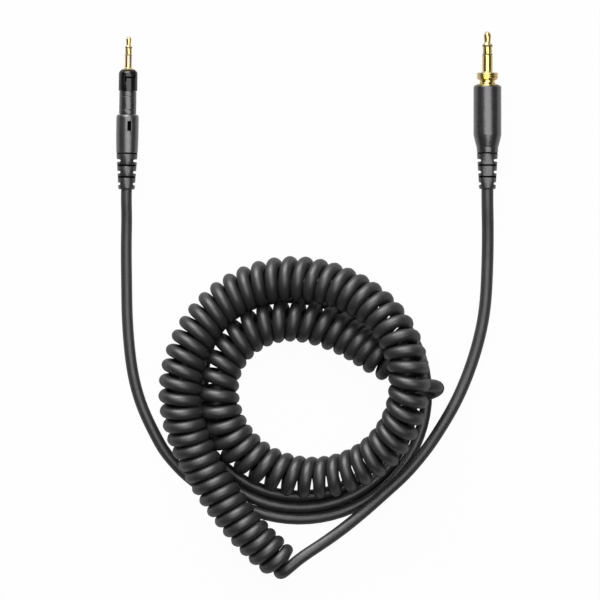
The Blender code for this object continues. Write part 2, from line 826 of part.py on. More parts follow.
def make_strain_relief(plug, materials):
    """The tapered relief: side notches and, between them, narrow cuts from above and below."""
    rubber = materials["relief"]
    front, rear = plug["relief_radii"]
    start = plug["shell_end"] + NODE_GAP / 2
    end = plug["length"]
    bore = relief_bore(plug)
    nose_start = plug["shell_end"] - RELIEF_NOSE_LENGTH
    nose = relief_nose(plug)
    outline = [
        (nose_start, bore),
        (nose_start, nose),
        (start, nose),
        (start, front - 0.15),
        (start + 0.15, front),
        (start + 2.0, front),
        (end - 0.4, rear),
        (end, rear - 0.3),
        (end, bore),
    ]
    relief = turned(plug, "strain_relief", outline, rubber, 20)
    inner = bore + RELIEF_WALL
    outer = front + 1
    for slot in range(RELIEF_SLOTS):
        notch = plug["shell_end"] + RELIEF_NOTCH_START + RELIEF_SLOT_PITCH * slot
        for side in (-1, 1):
            flat = notch_outline(side, inner, outer, notch, RELIEF_NOTCH_WIDTH)
            name = f"notch_{slot}_{'left' if side < 0 else 'right'}"
            cut(relief, prism_cutter(plug, name, flat, -outer, outer, rubber))
        line = notch + RELIEF_SLOT_PITCH * 0.39
        box = [
            (-outer, line - RELIEF_CUT_WIDTH / 2),
            (outer, line - RELIEF_CUT_WIDTH / 2),
            (outer, line + RELIEF_CUT_WIDTH / 2),
            (-outer, line + RELIEF_CUT_WIDTH / 2),
        ]
        cut(relief, prism_cutter(plug, f"cut_{slot}_top", box, inner, outer, rubber))
        cut(relief, prism_cutter(plug, f"cut_{slot}_bottom", box, -outer, -inner, rubber))


def make_jacket_end(plug, materials):
    """The jacket's end inside the relief and the shell, where the wires come out."""
    start = plug["shell_end"] - JACKET_END_INSIDE
    radius = CORD_DIAMETER / 2
    outline = [(start, 0.0), (start, radius), (plug["length"], radius), (plug["length"], 0.0)]
    turned(plug, "jacket_end", outline, materials["jacket"], 12, hole=False)
    plug["jacket_start"] = start


def make_wires(plug, materials):
    """Three wires, from the jacket's end to the tip's lug, the ring's flange and the sleeve."""
    start = plug["jacket_start"] - NODE_GAP
    diameter = plug["wire_diameter"]
    beside = 0.15 + diameter / 2
    beside_lug = plug["flange_radii"][0] + beside
    beside_flanges = plug["flange_radii"][2] + beside
    ends = {
        "tip_wire": ("wire_red", (0.0, plug["lug_end"] + NODE_GAP), 0.0),
        "ring_wire": ("wire_white", (beside_lug, plug["ring_end"] + NODE_GAP), WIRE_SPREAD),
        "ground_wire": ("wire_copper", (-beside_flanges, plug["stem_end"] + NODE_GAP), -WIRE_SPREAD),
    }
    for piece, (material, (sideways, station), spread) in ends.items():
        route = [
            on_plug(plug, spread, start),
            on_plug(plug, spread, start - 0.8),
            on_plug(plug, sideways, station + 1.2),
            on_plug(plug, sideways, station),
        ]
        name = f"{plug['name']}_{piece}"
        tube(name, smooth_route(route, 0.9), diameter, 1, materials[material])


def make_main_plug(plug, materials):
    plug["axis_height"] = MAIN_SHELL_DIAMETER / 2 * math.cos(math.pi / plug["sides"])
    plug_frame(plug)
    make_pin(plug, materials)
    make_main_sleeve(plug, materials)
    make_main_shell(plug, materials)
    make_strain_relief(plug, materials)
    make_jacket_end(plug, materials)
    make_wires(plug, materials)


def make_lock_plug(plug, materials):
    plug["axis_height"] = LOCK_SHELL_DIAMETER / 2 * math.cos(math.pi / plug["sides"])
    plug_frame(plug)
    make_pin(plug, materials)
    make_lock_sleeve(plug, materials)
    make_locking_collar(plug, materials)
    make_neck(plug, materials)
    make_lock_shell(plug, materials)
    make_strain_relief(plug, materials)
    make_jacket_end(plug, materials)
    make_wires(plug, materials)


def main():
    clear_scene()
    materials = make_materials()
    main_plug = dict(MAIN)
    lock_plug = dict(LOCK)
    make_main_plug(main_plug, materials)
    make_lock_plug(lock_plug, materials)
    make_cord(materials, lock_plug, main_plug)


main()
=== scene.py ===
"""The look of the coiled headphone cable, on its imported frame.

Sizes and stations are in millimetres, as in the part's own source, and are turned into metres
where a mesh or a curve is made.
"""

import math

import bmesh
import bpy
import numpy
from mathutils import Matrix, Vector

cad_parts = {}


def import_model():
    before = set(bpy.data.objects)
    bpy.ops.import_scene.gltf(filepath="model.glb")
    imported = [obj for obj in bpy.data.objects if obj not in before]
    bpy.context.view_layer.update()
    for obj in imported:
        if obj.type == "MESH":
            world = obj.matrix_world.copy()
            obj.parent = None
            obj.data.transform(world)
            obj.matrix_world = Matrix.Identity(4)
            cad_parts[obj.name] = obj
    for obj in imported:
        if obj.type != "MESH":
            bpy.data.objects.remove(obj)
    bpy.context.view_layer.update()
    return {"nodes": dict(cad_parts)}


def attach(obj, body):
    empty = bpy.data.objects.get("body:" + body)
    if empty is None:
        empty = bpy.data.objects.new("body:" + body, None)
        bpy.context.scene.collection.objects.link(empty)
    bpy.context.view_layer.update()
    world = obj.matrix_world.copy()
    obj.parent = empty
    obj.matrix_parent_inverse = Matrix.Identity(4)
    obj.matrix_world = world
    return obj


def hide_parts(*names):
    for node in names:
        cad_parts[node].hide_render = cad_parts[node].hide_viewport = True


MM = 0.001

# ---------------------------------------------------------------- sizes, in millimetres

PHOTO_WIDTH = 205.2
PHOTO_MIDDLE = (-3.04, 1.61)
CAMERA_HEIGHT = 4000.0
SENSOR_WIDTH = 36.0

JACKET_DIAMETER = 3.95
CURL_CORD_DIAMETERS = (4.4, 4.15)
LOCK_CORD_DIAMETERS = (3.72, 3.95)  # at the plug, and where the loops begin
MAIN_CORD_DIAMETERS = (3.95, 4.12)  # at the curls, and at the plug
HELIX_RADIUS = 5.1
POINTS_PER_CURL = 24
LOOP_STEP_DEGREES = 5.0
STRETCH_STEP = 2.5
LEAD = 3.6  # how far the cord runs straight where two of its lengths meet
INTO_PLUG = 2.0  # how far the cord goes on inside a strain relief
AXIS_SAMPLES = 8000
AXIS_HALF_STEP = 0.05  # to either side of a place on the curly axis, to read its direction
DIAMETER_BLEND = 9  # points over which the jacket's diameter changes

# The axis of the curly cord, from its free end at the bottom of the ring: x, y, height of the
# axis above the table, the curls wound so far, and how much wider than usual the curls are wound
# there.  A whole number of curls is a curl's lowest point.
CURLY_AXIS = [
    (-6.8, -89.4, 9.2, -1.5, -1.9),
    (-8.6, -88.1, 9.4, -1.05, -1.3),
    (-10.5, -86.8, 9.8, -0.6, -0.6),
    (-14.2, -83.9, 10.4, 0.45, -0.25),
    (-19.6, -78.6, 11.1, 2.3, -0.25),
    (-28.0, -68.1, 11.3, 5.55, 0.05),
    (-35.6, -56.4, 11.3, 8.7, 0.1),
    (-41.4, -44.1, 12.6, 11.77, 0.1),
    (-44.0, -30.8, 14.1, 14.78, 0.15),
    (-41.8, -17.3, 13.9, 17.7, 0.15),
    (-35.5, -5.4, 12.6, 20.6, 0.1),
    (-25.2, 3.6, 11.6, 23.6, 0.2),
    (-12.3, 8.3, 12.4, 26.5, 0.5),
    (1.4, 8.3, 14.6, 29.4, 0.55),
    (14.4, 4.2, 17.9, 32.45, 0.2),
    (25.35, -3.85, 21.8, 35.45, 0.0),
    (32.4, -15.8, 25.3, 38.4, -0.1),
    (34.0, -29.3, 24.6, 41.15, -0.1),
    (30.2, -42.3, 19.8, 43.9, -0.1),
    (21.5, -52.4, 15.0, 46.7, -0.05),
    (9.3, -58.1, 11.2, 49.5, 0.0),
    (-4.1, -58.6, 8.6, 52.3, 0.0),
    (-16.9, -54.0, 7.5, 54.95, 0.1),
    (-26.7, -45.0, 7.9, 57.6, 0.5),
    (-31.3, -32.2, 9.2, 60.3, 0.4),
    (-29.1, -19.1, 7.9, 62.8, 0.2),
    (-20.2, -9.15, 7.3, 65.4, 0.3),
    (-7.25, -5.2, 7.4, 68.1, 0.2),
    (6.2, -7.6, 7.6, 70.8, 0.2),
    (16.9, -12.7, 8.9, 73.35, 0.0),
    (25.6, -18.2, 10.6, 75.9, 0.0),
    (32.7, -21.8, 11.1, 77.3, -0.1),
    (36.2, -24.3, 11.2, 77.9, -0.1),
    (38.6, -27.4, 11.3, 78.45, -0.1),
    (39.4, -31.0, 11.3, 79.0, -0.2),
]

# The straight cord's flat loops: angle about the ring's middle in degrees, and radius
RING_MIDDLE = (-3.6, -30.0)
FLAT_LOOPS = [
    (-120, 43.6), (-112, 43.3), (-105, 43.2), (-90, 43.2), (-60, 43.5), (-30, 43.75),
    (0, 43.8), (30, 43.1), (60, 40.9), (80, 38.1), (100, 37.0), (120, 38.3),
    (150, 41.3), (180, 42.4), (210, 40.8),
    (225, 39.75), (240, 39.35), (255, 39.3), (270, 39.3), (300, 39.55), (330, 39.75),
    (360, 38.6), (380, 36.6), (400, 34.0), (415, 32.4), (430, 31.8), (445, 32.0),
    (460, 32.9), (475, 33.9), (490, 34.7), (505, 34.9), (517, 34.1), (530, 33.0),
    (543, 32.7), (555, 33.6), (566, 35.2), (576, 36.3), (585, 35.9), (600, 35.5),
    (615, 35.4), (630, 35.4), (660, 35.65), (675, 35.65),
]

# From the last flat loop up to the curly cord's end: x, y, height
LOOPS_TO_CURLS = [
    (25.6, -48.4, 2.6),
    (27.7, -45.1, 4.1),
    (30.0, -41.5, 5.7),
    (32.2, -37.9, 6.3),
]

# From the locking plug down to the ring
LOCK_STRETCH = [
    (-62.3, 31.5, 3.15),
    (-62.4, 22.0, 2.2),
    (-62.3, 6.6, 1.85),
    (-62.1, -3.7, 1.85),
    (-61.4, -14.0, 1.85),
    (-60.0, -24.2, 1.85),
    (-57.1, -34.5, 1.85),
    (-52.4, -44.7, 1.85),
    (-49.4, -49.9, 1.85),
    (-46.0, -54.1, 1.85),
    (-42.3, -57.9, 1.85),
    (-38.3, -61.1, 1.85),
    (-33.3, -64.4, 1.85),
]

# From the curly cord's free end up to the main plug
MAIN_STRETCH = [
    (3.6, -82.1, 11.4),
    (10.5, -77.3, 8.9),
    (16.0, -73.0, 7.2),
    (21.3, -68.5, 6.2),
    (27.1, -63.3, 6.0),
    (32.4, -58.4, 6.0),
    (37.0, -53.3, 5.9),
    (41.0, -48.2, 5.3),
    (44.5, -43.0, 4.2),
    (50.4, -32.8, 2.6),
    (54.8, -22.5, 1.95),
    (58.0, -12.2, 1.85),
    (60.0, -2.0, 1.85),
    (60.8, 8.3, 1.9),
    (61.1, 18.5, 2.3),
    (61.1, 28.8, 3.5),
]

# The solids' turned pieces have this many sides and lie on one of them.
SOLID_SIDES = 24
FLAT_SHARE = math.cos(math.pi / SOLID_SIDES)

# Plugs: the tip's place, the lean about Z, and stations that run back from the tip
MAIN = dict(
    name="main_plug",
    tip_at=(60.98, 93.3),
    lean=0.0,
    axis_height=4.65 * FLAT_SHARE,
    length=53.8,
    pin_radius=1.75,
    ring_radius=1.56,
    tip_profile=(
        (0.0, 0.0), (0.05, 0.42), (0.22, 0.72), (0.6, 1.02), (1.1, 1.22), (1.6, 1.25),
        (2.2, 1.22), (2.9, 1.12), (3.5, 1.05), (3.8, 1.08), (4.1, 1.28), (4.5, 1.52),
    ),
    bands=(4.5, 5.15, 7.6, 8.05),
    pin_length=14.0,
    shell_start=18.9,
    shell_end=41.3,
    relief_radii=(3.56, 2.84),
    cord_radius=MAIN_CORD_DIAMETERS[1] / 2,
)
LOCK = dict(
    name="lock_plug",
    tip_at=(-61.55, 91.6),
    lean=-0.85,
    axis_height=3.8 * FLAT_SHARE,
    length=52.2,
    pin_radius=1.25,
    ring_radius=1.12,
    tip_profile=(
        (0.0, 0.0), (0.04, 0.3), (0.2, 0.56), (0.5, 0.8), (0.9, 0.92), (1.3, 0.92),
        (1.8, 0.87), (2.4, 0.77), (2.8, 0.73), (3.1, 0.8), (3.5, 1.02),
    ),
    bands=(3.5, 3.98, 6.1, 6.5),
    pin_length=11.0,
    shell_start=26.7,
    shell_end=39.7,
    relief_radii=(3.6, 2.82),
    cord_radius=LOCK_CORD_DIAMETERS[0] / 2,
)
SIDES = 72
SHARP_ANGLE = math.radians(32)
BEVEL_ANGLE = math.radians(50)
WELD = 0.0005  # corners nearer than this are one corner

# Strain relief: stations from the shell's end, and angles from +X towards the top
RELIEF_GAP = 0.45
RELIEF_WEB = 2.15
FIRST_NOTCH = 2.7
NOTCH_PITCH = 3.97
NOTCH_TO_SLOT = 1.62
SLOT_HALF_WIDTH = 0.32
SLOT_SIDE_ANGLE = 7.3
SLOT_SWEEP = 165.4
# The relief's core is black: painted shade at the bottom of its cuts.
CORE_SHOWS = 0.03  # how far the dark core stands out of the floor of a cut

# The floor: how much of the white each kind of ray sees, and its colour under the light
FLOOR_DROP = 0.0002
FLOOR_SIZE = 3.0
FLOOR_GREY = 0.45
WHITE_SHARE = 0.97
GLOSSY_WHITE = 0.15


# ---------------------------------------------------------------- smooth curves


def natural_cubic(stations, values):
    """A function that reads the natural cubic spline through values at the given stations."""
    x = numpy.asarray(stations, float)
    y = numpy.asarray(values, float)
    step = numpy.diff(x)
    count = len(x)
    matrix = numpy.eye(count)
    right = numpy.zeros_like(y)
    for i in range(1, count - 1):
        matrix[i, i - 1 : i + 2] = step[i - 1], 2 * (step[i - 1] + step[i]), step[i]
        right[i] = 6 * ((y[i + 1] - y[i]) / step[i] - (y[i] - y[i - 1]) / step[i - 1])
    bend = numpy.linalg.solve(matrix, right)

    def read(at):
        at = numpy.asarray(at, float)
        i = numpy.clip(numpy.searchsorted(x, at) - 1, 0, count - 2)
        h = step[i][:, None]
        a = ((x[i + 1] - at) / step[i])[:, None]
        b = 1 - a
        curved = ((a**3 - a) * bend[i] + (b**3 - b) * bend[i + 1]) * h**2 / 6
        return a * y[i] + b * y[i + 1] + curved

    return read


def along(points):
    steps = numpy.linalg.norm(numpy.diff(points[:, :3], axis=0), axis=1)
    return numpy.concatenate([[0.0], numpy.cumsum(steps)])


def smooth_route(route, step, first=0, last=-1):
    """Points about a step apart on the smooth curve through a route, from one of its points on."""
    route = numpy.asarray(route, float)
    stations = along(route)
    count = max(2, round((stations[last] - stations[first]) / step) + 1)
    return natural_cubic(stations, route)(numpy.linspace(stations[first], stations[last], count))


def past_end(end, before, distance):
    """The point this far beyond the end of a line, straight on."""
    return end + (end - before) / numpy.linalg.norm(end - before) * distance


# ---------------------------------------------------------------- the cord's route


def on_plug(plug, station):
    """World place, in millimetres, of a point on the plug's axis."""
    lean = math.radians(plug["lean"])
    x = plug["tip_at"][0] + station * math.sin(lean)
    y = plug["tip_at"][1] - station * math.cos(lean)
    return numpy.array([x, y, plug["axis_height"]])


def curl_points():
    """The middle line of the curls, wound left-handed round the curly axis."""
    axis = numpy.array(CURLY_AXIS)
    read = natural_cubic(along(axis), axis)
    fine_at = numpy.linspace(0, along(axis)[-1], AXIS_SAMPLES)
    turns = read(fine_at)[:, 3]
    steps = round((turns[-1] - turns[0]) * POINTS_PER_CURL)
    turn = numpy.linspace(turns[0], turns[-1], steps + 1)
    at = numpy.interp(turn, turns, fine_at)
    ahead = read(numpy.minimum(at + AXIS_HALF_STEP, fine_at[-1]))[:, :3]
    behind = read(numpy.maximum(at - AXIS_HALF_STEP, 0))[:, :3]
    forward = (ahead - behind) / numpy.linalg.norm(ahead - behind, axis=1)[:, None]
    outward = numpy.cross([0, 0, 1], forward)
    outward /= numpy.linalg.norm(outward, axis=1)[:, None]
    up = numpy.cross(forward, outward)
    angle = (2 * math.pi * turn)[:, None]
    radius = HELIX_RADIUS + read(at)[:, 4:5]
    return read(at)[:, :3] + radius * (-numpy.cos(angle) * up - numpy.sin(angle) * outward)


def loop_points():
    """The flat loops under the ring."""
    table = numpy.array(FLAT_LOOPS, float)
    read = natural_cubic(table[:, 0], table[:, 1:])
    angles = numpy.arange(table[0, 0], table[-1, 0] + 0.1, LOOP_STEP_DEGREES)
    radii = read(angles)[:, 0]
    turned = numpy.radians(angles)
    x = RING_MIDDLE[0] + radii * numpy.cos(turned)
    y = RING_MIDDLE[1] + radii * numpy.sin(turned)
    return numpy.column_stack([x, y, numpy.full(len(angles), JACKET_DIAMETER / 2)])


def cord_route():
    """The whole cord, from inside the locking plug's relief to inside the main plug's.

    Returns its points and, for each, the diameter of the jacket there.
    """
    curls = curl_points()
    loops = loop_points()
    curls_start = past_end(curls[0], curls[1], LEAD)
    curls_end = past_end(curls[-1], curls[-2], LEAD)
    into_loops = past_end(loops[0], loops[3], LEAD)
    lock_end = on_plug(LOCK, LOCK["length"])
    main_end = on_plug(MAIN, MAIN["length"])
    lock = smooth_route(
        [
            on_plug(LOCK, LOCK["length"] - INTO_PLUG),
            lock_end,
            on_plug(LOCK, LOCK["length"] + LEAD),
            *LOCK_STRETCH,
            into_loops,
            loops[0],
            loops[3],
        ],
        STRETCH_STEP,
        0,
        -3,
    )
    rise = smooth_route(
        [*loops[-7::3], *LOOPS_TO_CURLS, curls_end, curls[-1]], STRETCH_STEP, 2, -2
    )
    main = smooth_route(
        [
            curls[0],
            curls_start,
            *MAIN_STRETCH,
            on_plug(MAIN, MAIN["length"] + LEAD),
            main_end,
            on_plug(MAIN, MAIN["length"] - INTO_PLUG),
        ],
        STRETCH_STEP,
        1,
        -1,
    )
    lengths = [
        (lock, LOCK_CORD_DIAMETERS),
        (loops[:-1], (JACKET_DIAMETER, JACKET_DIAMETER)),
        (rise, (JACKET_DIAMETER, JACKET_DIAMETER)),
        (curls[::-1], CURL_CORD_DIAMETERS),
        (main, MAIN_CORD_DIAMETERS),
    ]
    points = numpy.vstack([part for part, ends in lengths])
    fit = numpy.concatenate([numpy.linspace(*ends, len(part)) for part, ends in lengths])
    blend = numpy.ones(DIAMETER_BLEND) / DIAMETER_BLEND
    spare = DIAMETER_BLEND // 2
    wide = numpy.concatenate([numpy.full(spare, fit[0]), fit, numpy.full(spare, fit[-1])])
    diameters = numpy.convolve(wide, blend, "valid")
    points[:, 2] = numpy.maximum(points[:, 2], diameters / 2)
    return points, diameters


# ---------------------------------------------------------------- materials


class Nodes:
    """A short way to build one material's nodes."""

    def __init__(self, name):
        self.material = bpy.data.materials.new(name)
        self.material.use_nodes = True
        self.tree = self.material.node_tree
        self.shader = self.tree.nodes["Principled BSDF"]
        self.place = self.add("ShaderNodeTexCoord").outputs["Object"]

    def add(self, kind, inputs=None, **settings):
        node = self.tree.nodes.new(kind)
        for key, value in settings.items():
            setattr(node, key, value)
        for key, value in (inputs or {}).items():
            if isinstance(value, bpy.types.NodeSocket):
                self.tree.links.new(value, node.inputs[key])
            else:
                node.inputs[key].default_value = value
        return node

    def noise(self, scale, detail=3.0, roughness=0.55):
        """Noise with this many blotches to a metre."""
        inputs = {"Vector": self.place, "Scale": scale, "Detail": detail, "Roughness": roughness}
        return self.add("ShaderNodeTexNoise", inputs).outputs["Fac"]

    def between(self, fac, low, high, start=0.3, end=0.7):
        """Maps fac from start..end to low..high."""
        inputs = {"Value": fac, "From Min": start, "From Max": end, "To Min": low, "To Max": high}
        return self.add("ShaderNodeMapRange", inputs).outputs["Result"]

    def ramp(self, fac, *stops):
        node = self.add("ShaderNodeValToRGB", {"Fac": fac})
        elements = node.color_ramp.elements
        while len(elements) < len(stops):
            elements.new(0.5)
        for element, (position, color) in zip(elements, stops):
            element.position = position
            element.color = (*color, 1.0)
        return node.outputs["Color"]

    def bump(self, height, distance, strength=1.0, normal=None):
        inputs = {"Height": height, "Distance": distance, "Strength": strength}
        if normal is not None:
            inputs["Normal"] = normal
        return self.add("ShaderNodeBump", inputs).outputs["Normal"]

    def set(self, **sockets):
        for key, value in sockets.items():
            socket = self.shader.inputs[key.replace("_", " ")]
            if isinstance(value, bpy.types.NodeSocket):
                self.tree.links.new(value, socket)
            else:
                socket.default_value = value
        return self.material


def grey(level):
    return (level, level, level * 1.03)


def jacket_material():
    """Soft black cord jacket: satin, with a faint uneven sheen and the finest grain."""
    n = Nodes("jacket_rubber")
    color = n.ramp(n.noise(160.0, 4.0), (0.3, grey(0.009)), (0.7, grey(0.014)))
    rough = n.between(n.noise(420.0, 3.0), 0.42, 0.5)
    grain = n.bump(n.noise(5000.0, 2.0), 0.00002, 0.3)
    n.set(Specular_IOR_Level=0.8)
    return n.set(Base_Color=color, Roughness=rough, Normal=grain)


def moulded_material(name, low, high, roughness, gloss, grain=1.0, coat=0.0):
    """Moulded black plastic or rubber with a spark-eroded grain."""
    n = Nodes(name)
    color = n.ramp(n.noise(300.0, 4.0), (0.3, grey(low)), (0.7, grey(high)))
    rough = n.between(n.noise(900.0, 3.0), roughness - 0.04, roughness + 0.04)
    coarse = n.bump(n.noise(1100.0, 3.0, 0.6), 0.0001 * grain, 0.6)
    fine = n.bump(n.noise(4500.0, 2.0, 0.6), 0.00001 * grain, 0.6, coarse)
    n.set(Specular_IOR_Level=gloss)
    n.set(Coat_Weight=coat, Coat_Roughness=roughness)
    return n.set(Base_Color=color, Roughness=rough, Normal=fine)


def gloss_material():
    n = Nodes("gloss_black_plastic")
    color = n.ramp(n.noise(250.0), (0.3, (0.002, 0.0025, 0.002)), (0.7, (0.004, 0.005, 0.004)))
    rough = n.between(n.noise(700.0), 0.13, 0.19)
    return n.set(Base_Color=color, Roughness=rough, Normal=n.bump(n.noise(500.0), 0.00001, 0.3))


def gold_material():
    """Gold plate with a little wear: its colour and its polish vary."""
    n = Nodes("gold_plate")
    color = n.ramp(n.noise(200.0, 2.0), (0.25, (0.68, 0.52, 0.2)), (0.75, (0.78, 0.61, 0.27)))
    rough = n.between(n.noise(200.0, 2.0), 0.13, 0.16)
    return n.set(Base_Color=color, Metallic=1.0, Roughness=rough)


def insulator_material():
    n = Nodes("pin_insulator")
    color = n.ramp(n.noise(900.0), (0.3, (0.1, 0.062, 0.018)), (0.7, (0.15, 0.1, 0.035)))
    return n.set(Base_Color=color, Roughness=n.between(n.noise(700.0), 0.3, 0.4))


def wire_material(name, low, high, metallic=0.0):
    n = Nodes(name)
    color = n.ramp(n.noise(700.0), (0.3, low), (0.7, high))
    rough = n.between(n.noise(900.0), 0.35, 0.5)
    return n.set(Base_Color=color, Metallic=metallic, Roughness=rough)


def make_materials():
    return {
        "jacket": jacket_material(),
        "shell": moulded_material("shell_plastic", 0.006, 0.011, 0.3, 1.0, coat=0.7),
        "lock_shell": moulded_material("sleeve_plastic", 0.01, 0.016, 0.31, 1.0, 1.2, coat=0.9),
        "relief": moulded_material("relief_rubber", 0.007, 0.014, 0.34, 1.0, 1.6, coat=0.2),
        # Near black and without gloss: painted shade for the bottom of the locking track, the
        # window and the relief's cuts.
        "painted_shade": moulded_material("recess_painted_shade", 0.002, 0.003, 0.7, 0.0),
        "neck": moulded_material("neck_plastic", 0.007, 0.012, 0.28, 1.0, 1.2, coat=0.6),
        "gloss": gloss_material(),
        "gold": gold_material(),
        "insulator": insulator_material(),
        "wire_red": wire_material("wire_red", (0.40, 0.02, 0.015), (0.5, 0.03, 0.02)),
        "wire_white": wire_material("wire_white", (0.6, 0.58, 0.52), (0.7, 0.68, 0.63)),
        "wire_copper": wire_material("wire_copper", (0.6, 0.28, 0.14), (0.75, 0.38, 0.2), 1.0),
    }


# ---------------------------------------------------------------- making pieces


def link(name, data, material):
    obj = bpy.data.objects.new(name, data)
    bpy.context.scene.collection.objects.link(obj)
    data.materials.clear()
    data.materials.append(material)
    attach(obj, "root")
    return obj


def plug_matrix(plug):
    """From millimetres in the plug's own place to metres in the scene."""
    place = Matrix.Translation(Vector((*plug["tip_at"], plug["axis_height"])))
    return Matrix.Scale(MM, 4) @ place @ Matrix.Rotation(math.radians(plug["lean"]), 4, "Z")


def rounded(outline, steps=4):
    """The outline with each corner that states a radius rounded: (station, radius, corner)."""
    points = [Vector(corner[:2]) for corner in outline]
    made = []
    for i, corner in enumerate(outline):
        size = corner[2] if len(corner) > 2 else 0.0
        if not size:
            made.append(points[i])
            continue
        before = points[i - 1] - points[i]
        after = points[(i + 1) % len(points)] - points[i]
        reach = min(size, before.length * 0.49, after.length * 0.49)
        start = points[i] + before.normalized() * reach
        end = points[i] + after.normalized() * reach
        for step in range(steps + 1):
            t = step / steps
            made.append(start * (1 - t) ** 2 + points[i] * (2 * t * (1 - t)) + end * t**2)
    return made


def finish_mesh(bm, name):
    """The mesh from a bmesh in millimetres, with smooth shading up to its sharp edges."""
    bmesh.ops.remove_doubles(bm, verts=bm.verts, dist=WELD)
    bmesh.ops.dissolve_degenerate(bm, edges=bm.edges, dist=WELD)
    bmesh.ops.recalc_face_normals(bm, faces=bm.faces)
    mesh = bpy.data.meshes.new(name)
    bm.to_mesh(mesh)
    bm.free()
    mesh.shade_smooth()
    mesh.set_sharp_from_angle(angle=SHARP_ANGLE)
    return mesh


def ring_faces(bm, ring, following):
    """Quads between two closed rings of corners, or triangles where one of them is a point."""
    count = max(len(ring), len(following))
    for i in range(count):
        j = (i + 1) % count
        corners = [ring[i % len(ring)], ring[j % len(ring)]]
        corners += [following[j % len(following)], following[i % len(following)]]
        bm.faces.new(list(dict.fromkeys(corners)))


def turned_mesh(name, outline, hole):
    """A turned solid from (station, radius, corner) points, closed on itself or on the axis."""
    bm = bmesh.new()
    rings = []
    for station, radius in rounded(outline):
        count = SIDES if radius > 0 else 1
        turns = [2 * math.pi * side / SIDES for side in range(count)]
        places = [(radius * math.cos(t), -station, radius * math.sin(t)) for t in turns]
        rings.append([bm.verts.new(place) for place in places])
    pairs = list(zip(rings[:-1], rings[1:]))
    if hole:
        pairs.append((rings[-1], rings[0]))
    for ring, following in pairs:
        ring_faces(bm, ring, following)
    return finish_mesh(bm, name)


def turned_piece(
    plug, piece, outline, material, replaces=(), hole=True, cutters=(), bevel=0.0
):
    name = f"{plug['name']}_{piece}_seen"
    mesh = turned_mesh(name, outline, hole)
    if cutters:
        mesh = cut(mesh, cutters, bevel)
    mesh.transform(plug_matrix(plug))
    obj = link(name, mesh, material)
    if replaces:
        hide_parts(*(f"{plug['name']}_{node}" for node in replaces))


def prism(outline, low, high):
    """A cutter: outline lists (sideways, station), and it runs from low to high."""
    bm = bmesh.new()
    rings = [[bm.verts.new((x, -s, z)) for x, s in outline] for z in (low, high)]
    ring_faces(bm, *rings)
    for ring in rings:
        bm.faces.new(ring)
    return finish_mesh(bm, "cutter")


def sector(stations, radii, angles, steps):
    """A cutter: part of a turned ring between two angles, measured from +X towards the top."""
    bm = bmesh.new()
    corners = [(stations[0], radii[0]), (stations[1], radii[0])]
    corners += [(stations[1], radii[1]), (stations[0], radii[1])]
    rings = []
    for step in range(steps + 1):
        angle = math.radians(angles[0] + (angles[1] - angles[0]) * step / steps)
        turned = [(r * math.cos(angle), -s, r * math.sin(angle)) for s, r in corners]
        rings.append([bm.verts.new(place) for place in turned])
    for ring, following in zip(rings[:-1], rings[1:]):
        ring_faces(bm, ring, following)
    bm.faces.new(rings[0])
    bm.faces.new(rings[-1])
    return finish_mesh(bm, "cutter")


def cut(mesh, cutters, bevel):
    """The mesh without its cutters, with the new edges softened.  All are in millimetres."""
    together = bmesh.new()
    for cutter in cutters:
        together.from_mesh(cutter)
    tool_mesh = bpy.data.meshes.new("cutters")
    together.to_mesh(tool_mesh)
    together.free()
    obj = bpy.data.objects.new("being_cut", mesh)
    tool = bpy.data.objects.new("cutters", tool_mesh)
    for part in (obj, tool):
        bpy.context.scene.collection.objects.link(part)
    modifier = obj.modifiers.new("cut", "BOOLEAN")
    modifier.operation = "DIFFERENCE"
    modifier.solver = "EXACT"
    modifier.use_self = True
    modifier.object = tool
    soft = obj.modifiers.new("soften", "BEVEL")
    soft.width = bevel
    soft.segments = 2
    soft.limit_method = "ANGLE"
    soft.angle_limit = BEVEL_ANGLE
    graph = bpy.context.evaluated_depsgraph_get()
    made = bpy.data.meshes.new_from_object(obj.evaluated_get(graph))
    made.name = mesh.name
    for part in (obj, tool):
        bpy.data.objects.remove(part, do_unlink=True)
    made.shade_smooth()
    made.set_sharp_from_angle(angle=SHARP_ANGLE)
    return made


# ---------------------------------------------------------------- plugs


def make_pin(plug, materials):
    """The tip, the two insulators and the ring of a stereo pin."""
    first, second, third, fourth = plug["bands"]
    pin = plug["pin_radius"]
    bore = pin * 0.45
    tip = [*plug["tip_profile"], (first, 0.0)]
    turned_piece(plug, "tip", tip, materials["gold"], ["tip_contact"], hole=False)
    collar = 0.06
    outline = [
        (first, bore), (first, pin - 0.12, 0.05), (first + 0.12, pin, 0.05),
        (second - collar, pin, 0.04), (second - collar, bore),
    ]
    turned_piece(
        plug, "first_insulator", outline, materials["insulator"], ["tip_insulator"]
    )
    ring = plug["ring_radius"]
    outline = [(second, bore), (second, ring, 0.06), (third, ring, 0.06), (third, bore)]
    turned_piece(plug, "ring", outline, materials["gold"], ["ring_contact"])
    outline = [
        (third + collar, bore), (third + collar, pin, 0.06),
        (fourth - collar, pin, 0.06), (fourth - collar, bore),
    ]
    turned_piece(
        plug, "second_insulator", outline, materials["insulator"], ["ring_insulator"]
    )


